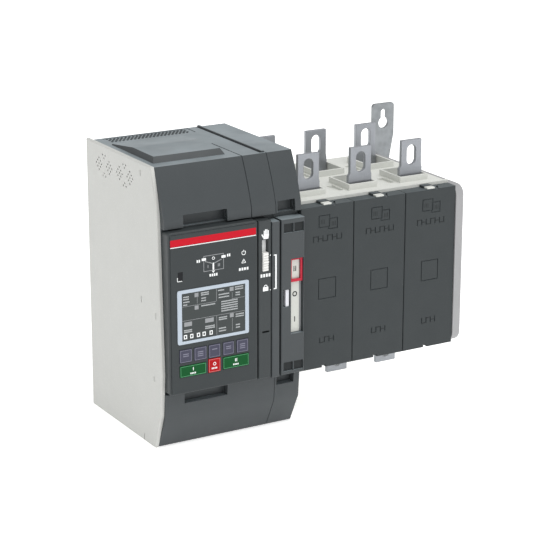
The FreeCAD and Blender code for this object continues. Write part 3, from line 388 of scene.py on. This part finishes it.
def dress(node, width, segments=2):
    """Stands in for a CAD node with the same shape, its sharp edges rounded by that many millimetres."""
    bm = bmesh.new()
    bm.from_mesh(NODES[node].data)
    bmesh.ops.remove_doubles(bm, verts=bm.verts, dist=1e-6)
    sharp = [edge for edge in bm.edges
             if len(edge.link_faces) == 2 and edge.calc_face_angle(0) > math.radians(32)]
    bmesh.ops.bevel(bm, geom=sharp, offset=width * MM, segments=segments, profile=0.5,
                    affect="EDGES", clamp_overlap=True, offset_type="OFFSET")
    mesh = mesh_of(node + "_shape", bm, 50)
    if "custom_normal" in mesh.attributes:
        mesh.attributes.remove(mesh.attributes["custom_normal"])
    piece = new_piece(node + "_dressed", mesh, BODY_OF[node], SLOT_OF[node])
    weight_normals(piece)
    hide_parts(node)


EDGE_WIDTHS = {
    "right_side_panel": 0.3, "rear_base": 0.5, "front_hood_main": 0.4, "front_hood_right": 0.4,
    "top_lid": 0.35, "face_housing": 0.25, "display_bezel": 0.12, "selector_strip": 0.25,
    "selector_slider": 0.15, "centre_rib": 0.25, "handle_plate": 0.3, "position_frame": 0.2,
    "lock_slide": 0.3, "end_cap": 0.4, "mounting_bracket": 0.35,
}


def dress_cad_nodes():
    for node, width in EDGE_WIDTHS.items():
        dress(node, width)
    for pole in POLES:
        dress(f"pole_housing_{pole}", 0.3)
        dress(f"pole_cover_{pole}", 0.2)
        for name in ("source1", "source2", "load"):
            dress(f"{name}_terminal_{pole}", 0.35)


def paint_cad_nodes():
    for name, node in NODES.items():
        for slot in node.material_slots:
            slot.material = MATERIALS[SLOT_OF[name]]


# ---------------------------------------------------------------- printed marks

class Print:
    """Marks of one ink on a surface that faces the front.

    Places are in millimetres, to the right of and above the lower left corner of the CAD node
    that carries them. The marks stand proud by lift; depth moves them behind the node's front.
    """

    def __init__(self, name, node, ink, lift=0.05, depth=0.0):
        self.name, self.node, self.ink = name, node, ink
        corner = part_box(node)[0]
        self.left, self.bottom = corner.x, corner.z
        self.front = corner.y + (depth - lift) * MM
        self.back = corner.y + (depth + 0.02) * MM
        self.bm = bmesh.new()

    def corner(self, u, v, y):
        return self.bm.verts.new((self.left + u * MM, y, self.bottom + v * MM))

    def polygon(self, points):
        """A filled outline, given counter-clockwise."""
        front = [self.corner(u, v, self.front) for u, v in points]
        back = [self.corner(u, v, self.back) for u, v in points]
        self.bm.faces.new(front)
        self.bm.faces.new(back[::-1])
        for index in range(len(points)):
            self.bm.faces.new((front[index - 1], back[index - 1], back[index], front[index]))

    def bar(self, left, low, width, height):
        self.polygon([(left, low), (left + width, low), (left + width, low + height), (left, low + height)])

    def bar_at(self, middle_u, middle_v, width, height):
        self.bar(middle_u - width / 2, middle_v - height / 2, width, height)

    def line(self, start, end, width=0.3):
        """A straight stroke between two points."""
        run, rise = end[0] - start[0], end[1] - start[1]
        length = math.hypot(run, rise)
        side_u, side_v = -rise / length * width / 2, run / length * width / 2
        self.polygon([
            (start[0] - side_u, start[1] - side_v), (end[0] - side_u, end[1] - side_v),
            (end[0] + side_u, end[1] + side_v), (start[0] + side_u, start[1] + side_v)])

    def path(self, points, width=0.3):
        for start, end in zip(points, points[1:]):
            self.line(start, end, width)

    def dots(self, start, end, count, size):
        """A dotted stroke between two points."""
        for index in range(count):
            share = index / (count - 1)
            u = start[0] + (end[0] - start[0]) * share
            v = start[1] + (end[1] - start[1]) * share
            self.bar_at(u, v, size, size)

    def frame(self, left, low, width, height, line):
        self.bar(left, low, width, line)
        self.bar(left, low + height - line, width, line)
        self.bar(left, low + line, line, height - 2 * line)
        self.bar(left + width - line, low + line, line, height - 2 * line)

    def arc(self, u, v, outer, inner, first=0, last=360, steps=28):
        """A ring, or the part of one between two angles in degrees from the right."""
        angles = [math.radians(first + (last - first) * step / steps) for step in range(steps + 1)]
        for start, end in zip(angles, angles[1:]):
            self.polygon([
                (u + inner * math.cos(start), v + inner * math.sin(start)),
                (u + outer * math.cos(start), v + outer * math.sin(start)),
                (u + outer * math.cos(end), v + outer * math.sin(end)),
                (u + inner * math.cos(end), v + inner * math.sin(end))])

    def disc(self, u, v, radius, steps=20):
        angles = [math.tau * step / steps for step in range(steps)]
        self.polygon([(u + radius * math.cos(a), v + radius * math.sin(a)) for a in angles])

    def word(self, left, middle, right, height, blocks=None):
        """A row of small blocks in place of a printed word."""
        count = blocks or max(1, round((right - left) / (height * 0.85)))
        step = (right - left) / count
        for index in range(count):
            self.bar(left + step * index, middle - height / 2, step * 0.68, height)

    def roman(self, u, v, strokes, height, width=0.9):
        """The position numbers I and II."""
        for index in range(strokes):
            shift = (index - (strokes - 1) / 2) * width * 2
            self.bar_at(u + shift, v, width, height)

    def done(self):
        mesh = mesh_of(self.name, self.bm)
        return new_piece(self.name, mesh, BODY_OF[self.node], SLOT_OF[self.node], self.ink)


def print_overlay():
    """Stripe, mimic diagram with two lamps, power and alarm signs, and painted shade in the programming
    port's recess.
    """
    stripe = Print("stripe", "face_overlay", RED_INK)
    stripe.bar(0.0, 119.0, 75.1, 5.5)
    stripe.done()

    white = Print("overlay_white", "face_overlay", WHITE_INK)
    white.bar(0.0, 118.1, 75.1, 0.6)
    white.word(22.6, 104.7, 26.0, 2.2, 2)
    white.word(49.2, 105.9, 52.6, 2.2, 2)
    white.arc(37.25, 105.4, 1.25, 0.8)
    white.bar(36.5, 95.2, 1.3, 6.5)
    white.polygon([(37.15, 93.6), (38.5, 95.4), (35.8, 95.4)])
    white.word(33.7, 92.0, 41.3, 2.1, 4)
    white.arc(64.05, 105.8, 1.9, 1.35, -240, 60)
    white.bar(63.8, 106.3, 0.5, 1.9)
    white.path([(62.2, 97.6), (65.9, 97.6), (64.05, 100.8), (62.2, 97.6)], 0.45)
    white.bar_at(64.05, 99.0, 0.45, 1.2)
    white.word(59.8, 92.7, 68.9, 2.2, 4)
    white.dots((30.2, 103.6), (36.6, 101.2), 7, 0.42)
    white.path([(5.8, 94.2), (5.8, 91.0), (9.8, 91.0)], 0.5)
    white.done()

    grey = Print("overlay_grey", "face_overlay", GREY_INK)
    grey.frame(28.55, 95.5, 17.8, 12.7, 0.45)
    grey.roman(32.45, 99.3, 1, 2.4, 0.6)
    grey.roman(42.05, 99.3, 2, 2.4, 0.6)
    grey.line((44.4, 103.6), (37.7, 101.2), 0.6)
    grey.done()

    # Painted shade: a black patch for the dark inside of the port's recess.
    port = Print("port_painted_shade", "face_overlay", PAINTED_SHADE_BLACK)
    port.bar(6.15, 91.6, 4.3, 6.7)
    port.done()

    lamps = Print("lamps", "face_overlay", WHITE_INK, lift=0.3)
    for u in (28.75, 46.05):
        lamps.bar_at(u, 105.5, 3.6, 2.0)
    lamps.done()


DISPLAY_RULES = (
    ((0.5, 28.0), (30.0, 28.0)), ((44.0, 28.0), (55.5, 28.0)), ((0.5, 16.5), (55.5, 16.5)),
    ((30.6, 28.0), (30.6, 38.3)), ((30.6, 0.5), (30.6, 16.5)), ((13.6, 29.0), (13.6, 34.8)),
    ((44.5, 29.0), (44.5, 33.2)), ((44.5, 1.4), (44.5, 12.0)),
)
DISPLAY_WORDS = (
    (1.5, 35.6, 6.5), (1.5, 33.8, 6.5), (1.5, 31.5, 7.0), (1.5, 29.3, 5.0),
    (17.0, 36.8, 24.0), (17.0, 35.2, 24.0), (17.3, 32.5, 21.5), (17.3, 30.5, 21.5), (17.2, 26.4, 29.5),
    (32.0, 36.5, 37.5), (32.5, 33.0, 42.0), (32.5, 30.7, 42.0),
    (47.0, 37.0, 54.5), (47.0, 35.2, 54.5), (47.6, 32.4, 51.6), (47.6, 30.5, 51.6),
    (34.8, 26.9, 49.5), (34.8, 25.0, 49.5), (34.8, 23.1, 49.5), (34.8, 21.2, 49.5), (34.8, 19.3, 49.5),
    (32.5, 14.2, 40.0), (32.5, 12.6, 40.0), (47.6, 14.6, 55.0), (47.6, 12.8, 55.0),
    (1.8, 8.6, 9.0), (1.8, 7.2, 9.0), (20.5, 8.9, 29.0), (20.5, 7.4, 29.0),
    (32.5, 5.4, 39.0), (32.5, 3.2, 39.0), (47.7, 6.0, 51.5), (47.7, 3.8, 51.5),
)


def print_display():
    """A generic page of readings: rules, rows of blocks, status squares and a large value."""
    rules = Print("display_rules", "display_glass", GREY_INK, lift=0.03)
    for start, end in DISPLAY_RULES:
        rules.line(start, end, 0.28)
    for u, v in ((13, 36), (13, 25.8), (44, 36), (44, 14.5)):
        rules.bar_at(u, v, 3.4, 3.2)
    rules.bar(2.0, 11.8, 6.8, 3.4)
    rules.bar(20.4, 12.0, 7.6, 3.4)
    rules.done()

    words = Print("display_words", "display_glass", PALE_INK, lift=0.03)
    for left, middle, right in DISPLAY_WORDS:
        words.word(left, middle, right, 0.95)
    words.done()

    value = Print("display_value", "display_glass", WHITE_INK, lift=0.03)
    for u in (3.0, 8.5, 14.4, 19.4, 25.6):
        value.frame(u - 1.4, 1.6, 2.8, 3.4, 0.75)
    value.done()


def print_keys():
    """Outlines and generic legends on the key caps; they move with the caps."""
    for number in range(1, 6):
        key = f"soft_key_{number}"
        low, high = (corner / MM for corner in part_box(key))
        width, height = high.x - low.x, high.z - low.z
        marks = Print(f"{key}_marks", key, VIOLET_INK)
        marks.frame(0.9, 0.9, width - 1.8, height - 1.8, 0.28)
        for line in range(1 + number % 3):
            marks.bar_at(width / 2, height / 2 + 1.5 - line * 1.6, width * 0.42, 0.7)
        marks.done()
    wide_keys = (("source1_key", GREEN_INK, 1), ("off_key", PINK_INK, 0), ("source2_key", GREEN_INK, 2))
    for key, ink, strokes in wide_keys:
        low, high = (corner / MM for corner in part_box(key))
        width, height = high.x - low.x, high.z - low.z
        outline = Print(f"{key}_outline", key, ink)
        outline.frame(0.9, 0.9, width - 1.8, height - 1.8, 0.28)
        outline.done()
        legend = Print(f"{key}_legend", key, WHITE_INK)
        if strokes:
            legend.roman(width / 2, height / 2 + 1.2, strokes, 2.6, 0.6)
        else:
            legend.arc(width / 2, height / 2 + 1.2, 1.4, 0.9)
        legend.word(width / 2 - 2.6, height / 2 - 2.3, width / 2 + 2.6, 1.3, 4)
        legend.done()


def print_selector():
    """Hand sign, the word for automatic as blocks, a padlock, and the bracket line on the rib."""
    white = Print("strip_white", "selector_strip", WHITE_INK)
    palm_u, palm_v = 6.6, 118.2
    white.polygon([
        (palm_u - 2.4, palm_v - 2.6), (palm_u + 2.0, palm_v - 2.6), (palm_u + 2.6, palm_v + 1.2),
        (palm_u - 2.2, palm_v + 1.2)])
    for finger, (shift, length) in enumerate(((-1.7, 3.0), (-0.5, 4.0), (0.7, 3.8), (1.9, 3.0))):
        white.bar_at(palm_u + shift, palm_v + 1.2 + length / 2, 0.9, length)
    white.line((palm_u - 2.3, palm_v - 1.4), (palm_u - 3.9, palm_v + 1.4), 1.0)
    white.word(1.6, 85.8, 11.2, 2.6, 4)
    white.bar_at(6.15, 74.6, 4.8, 3.4)
    white.arc(6.15, 76.4, 1.7, 1.1, 0, 180)
    for v in (101.8, 73.3):
        white.disc(10.4, v, 0.45)
    white.done()

    floor = Print("slider_bed", "selector_strip", WHITE_INK, lift=0.2, depth=4.1)
    floor.bar(3.2, 89.3, 5.3, 25.4)
    floor.done()

    line = Print("rib_line", "centre_rib", WHITE_INK)
    line.bar(2.8, 74.3, 1.3, 28.5)
    line.bar(1.4, 74.3, 1.4, 0.9)
    line.bar(1.4, 101.9, 1.4, 0.9)
    line.done()


def print_position_scale():
    """II, O and I down the scale, and the window's sloping right-hand border."""
    marks = Print("scale_marks", "position_label", DARK_INK)
    middle = 3.5
    marks.roman(middle, 52.7, 2, 4.4, 0.8)
    marks.arc(middle, 31.7, 2.2, 1.3)
    marks.roman(middle, 10.6, 1, 4.4, 0.8)
    marks.done()

    border = Print("window_border", "position_label", GREY_INK, lift=0.1, depth=0.78)
    border.bar(7.6, -0.3, 2.1, 62.3)
    border.done()


# ---------------------------------------------------------------- mouldings and fasteners

def ring_profile(name, place, axis, profile, steps=32):
    """A turned piece: profile is (radius, height) in millimetres, up the axis from place."""
    bm = bmesh.new()
    along = Vector(axis)
    across = along.orthogonal().normalized()
    beside = along.cross(across)
    rings = []
    for radius, height in profile:
        ring = []
        for step in range(steps):
            angle = math.tau * step / steps
            spoke = across * math.cos(angle) + beside * math.sin(angle)
            ring.append(bm.verts.new(Vector(place) + (spoke * radius + along * height) * MM))
        rings.append(ring)
    for lower, upper in zip(rings, rings[1:]):
        for step in range(steps):
            bm.faces.new((lower[step - 1], lower[step], upper[step], upper[step - 1]))
    bm.faces.new(rings[0][::-1])
    bm.faces.new(rings[-1])
    return mesh_of(name, bm)


def strip_along_y(name, left, front, back, floor, section):
    """A straight moulding along Y; its section is (x, z) in millimetres from left and floor."""
    bm = bmesh.new()
    ends = []
    for y in (front, back):
        ends.append([bm.verts.new((left + x * MM, y, floor + z * MM)) for x, z in section])
    for index in range(len(section)):
        bm.faces.new((ends[0][index - 1], ends[0][index], ends[1][index], ends[1][index - 1]))
    bm.faces.new(ends[0])
    bm.faces.new(ends[1][::-1])
    return mesh_of(name, bm)


def make_hood_trim():
    """A rounded ridge along the seam on top of the hood, and a black strip beside it as painted shade in the
    seam's gap.
    """
    low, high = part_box("front_hood_main")
    front, back = low.y + 18.0 * MM, high.y
    ridge = [(0.0, -0.2), (2.6, -0.2), (2.6, 0.7), (2.1, 1.2), (0.5, 1.2), (0.0, 0.7)]
    new_piece("seam_ridge", strip_along_y("seam_ridge", high.x - 2.9 * MM, front, back, high.z, ridge),
              ROOT, "hood_plastic")
    # Painted shade: a flat black strip stands for the dark gap of the seam.
    shade_section = [(0.0, -0.1), (1.3, -0.1), (1.3, 0.05), (0.0, 0.05)]
    new_piece("seam_painted_shade", strip_along_y("seam_painted_shade", high.x - 4.4 * MM, front, back, high.z, shade_section),
              ROOT, "hood_plastic", PAINTED_SHADE_BLACK)


def block(name, low, high, body, slot, material=None):
    """A plain rectangular moulding between two corners in millimetres, with eased edges."""
    bm = bmesh.new()
    for x in (low[0], high[0]):
        for y in (low[1], high[1]):
            for z in (low[2], high[2]):
                bm.verts.new((x * MM, y * MM, z * MM))
    bmesh.ops.convex_hull(bm, input=bm.verts)
    bmesh.ops.dissolve_limit(bm, angle_limit=0.01, verts=bm.verts, edges=bm.edges)
    thinnest = min(second - first for first, second in zip(low, high))
    bmesh.ops.bevel(bm, geom=bm.edges, offset=thinnest * 0.15 * MM, segments=2, profile=0.5, affect="EDGES")
    return new_piece(name, mesh_of(name, bm), body, slot, material)


def make_painted_vent_shade():
    """Black sheets of painted shade just under the left panel's outer face, seen through its openings so that
    they look dark.
    """
    low, high = (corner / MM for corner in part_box("left_side_panel"))
    outer, inner = low.x + 0.7, high.x - 0.4
    vents_front, vents_back = -110, -10
    catch_front, catch_back = -123, -112
    catch_bottom, catch_top = -62, 4
    block("vent_painted_shade", (outer, vents_front, low.z + 1.5), (inner, vents_back, high.z - 1.5),
          ROOT, "base_plastic", PAINTED_SHADE_BLACK)
    block("catch_painted_shade", (outer, catch_front, catch_bottom), (inner, catch_back, catch_top),
          ROOT, "base_plastic", PAINTED_SHADE_BLACK)


def make_catch_bridges():
    """The dark bar that each pole cover lays over the root of the housing's tongue."""
    for pole in POLES:
        low, high = (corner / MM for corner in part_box(f"pole_cover_{pole}"))
        middle = (low.x + high.x) / 2
        block(f"catch_bridge_{pole}", (middle - 3.8, high.y - 6.0, high.z - 1.0),
              (middle + 5.0, high.y - 0.1, high.z + 2.0), ROOT, "cover_plastic")


def print_covers():
    """Dark strokes in the signs of the pole covers, and painted shade on the floors of the handle plate's
    grip recesses and lock slot.
    """
    pitch, length, width = 4.4, 3.2, 0.8
    for pole in POLES:
        cover = f"pole_cover_{pole}"
        low, high = (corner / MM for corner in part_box(cover))
        middle, centre = (high.x - low.x) / 2, (high.z - low.z) / 2
        marks = Print(f"{cover}_marks", cover, DARK_INK, lift=0.03)
        for index in range(6):
            left = middle - 13.2 + 0.6 + index * pitch
            marks.bar(left, centre + (43.0, 40.9, 38.8)[index % 3], length, width)
        for index in range(3):
            left = middle - 6.6 + 0.6 + index * pitch
            marks.bar(left, centre + (-46.9, -42.7, -44.9)[index], length, width)
        for left, bottom in ((-6.2, 53.2), (4.0, 50.8)):
            for stroke in range(3):
                marks.bar(middle + left + stroke * 1.5, centre + bottom, 0.6, 3.6)
        marks.done()
    # Painted shade: dark floors in the grip recesses of the handle plate.
    grip_shade = Print("grip_painted_shade", "handle_plate", DARK_INK, lift=0.03, depth=1.2)
    for low_edge in (2.9, 118.1):
        for left in (2.1, 11.7):
            grip_shade.bar(left + 0.25, low_edge + 0.25, 8.3, 7.1)
    grip_shade.done()
    # Painted shade: a black floor deep in the lock slot.
    slot_shade = Print("lock_slot_painted_shade", "handle_plate", PAINTED_SHADE_BLACK, depth=4.0)
    slot_shade.bar(1.75, 57.0, 2.3, 14.3)
    slot_shade.done()


def make_cap_screws():
    """Domed heads with a round socket, where the tie rods end in the end cap."""
    low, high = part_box("end_cap")
    rods_low, rods_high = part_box("tie_rods")
    rod_radius = 2.5 * MM
    head = [(4.4, -0.3), (4.4, 0.9), (4.0, 1.7), (3.0, 2.3), (2.0, 2.4), (2.0, 1.0)]
    for y_name, y in (("front", rods_low.y + rod_radius), ("rear", rods_high.y - rod_radius)):
        for z_name, z in (("upper", rods_high.z - rod_radius), ("lower", rods_low.z + rod_radius)):
            name = f"cap_screw_{y_name}_{z_name}"
            new_piece(name, ring_profile(name, (high.x, y, z), (1, 0, 0), head), ROOT, "bright_steel")


# ---------------------------------------------------------------- build everything

make_camera()
make_studio()
make_floor()
paint_cad_nodes()
dress_cad_nodes()
print_overlay()
print_display()
print_keys()
print_selector()
print_position_scale()
print_covers()
make_hood_trim()
make_painted_vent_shade()
make_catch_bridges()
make_cap_screws()
